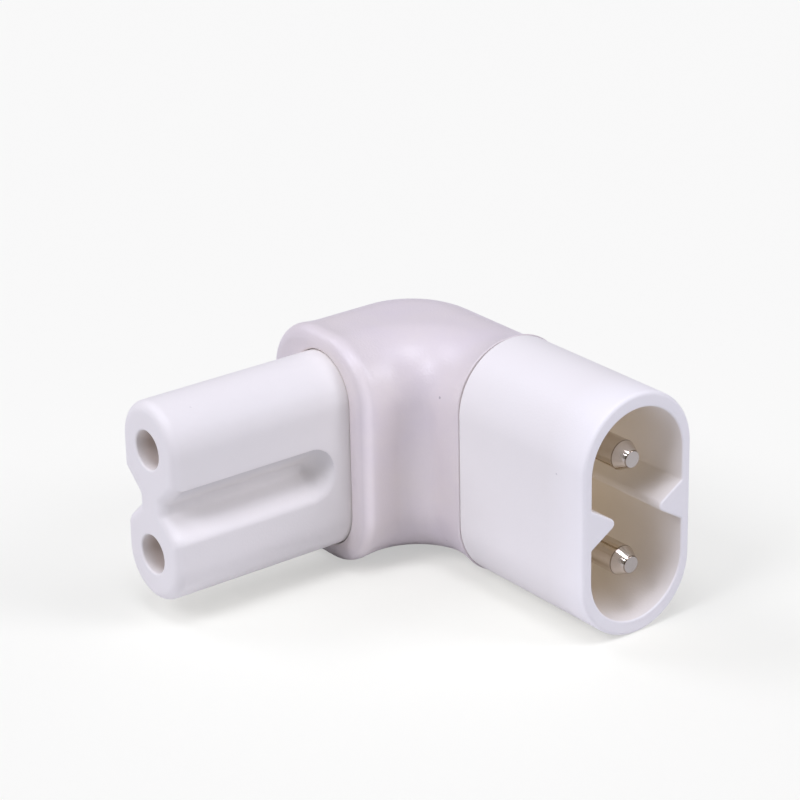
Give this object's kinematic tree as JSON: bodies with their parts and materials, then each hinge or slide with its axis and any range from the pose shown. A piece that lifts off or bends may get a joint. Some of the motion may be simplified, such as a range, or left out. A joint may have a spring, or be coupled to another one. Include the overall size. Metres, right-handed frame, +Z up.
{
  "type": "figure eight power connector",
  "caption": "Right-angle mains adapter: a grooved figure-eight socket on one arm and a keyed figure-eight inlet with round pins on the other.",
  "frame": {"origin": "under the middle of the part's box, on the surface it stands on", "axes": "+X the way the inlet pins point, -Y the way the socket points, +Z up along the long way of both figure-eight sections"},
  "size_m": [0.0318, 0.032, 0.0195],
  "materials": {
    "overmould": "soft PVC with a satin skin",
    "housing": "matt white plastic",
    "retainer": "matt natural plastic",
    "pin": "nickel plate on turned brass",
    "contact": "rolled brass strip",
    "link": "tinned brass strip"
  },
  "bodies": {
    "root": {"elbow_overmould": "overmould", "socket_housing": "housing", "inlet_housing": "housing", "contact_retainer": "retainer", "inlet_pin_upper": "pin", "inlet_pin_lower": "pin", "socket_contact_upper": "contact", "socket_contact_lower": "contact", "link_strip_upper": "link", "link_strip_lower": "link"}
  },
  "joints": []
}
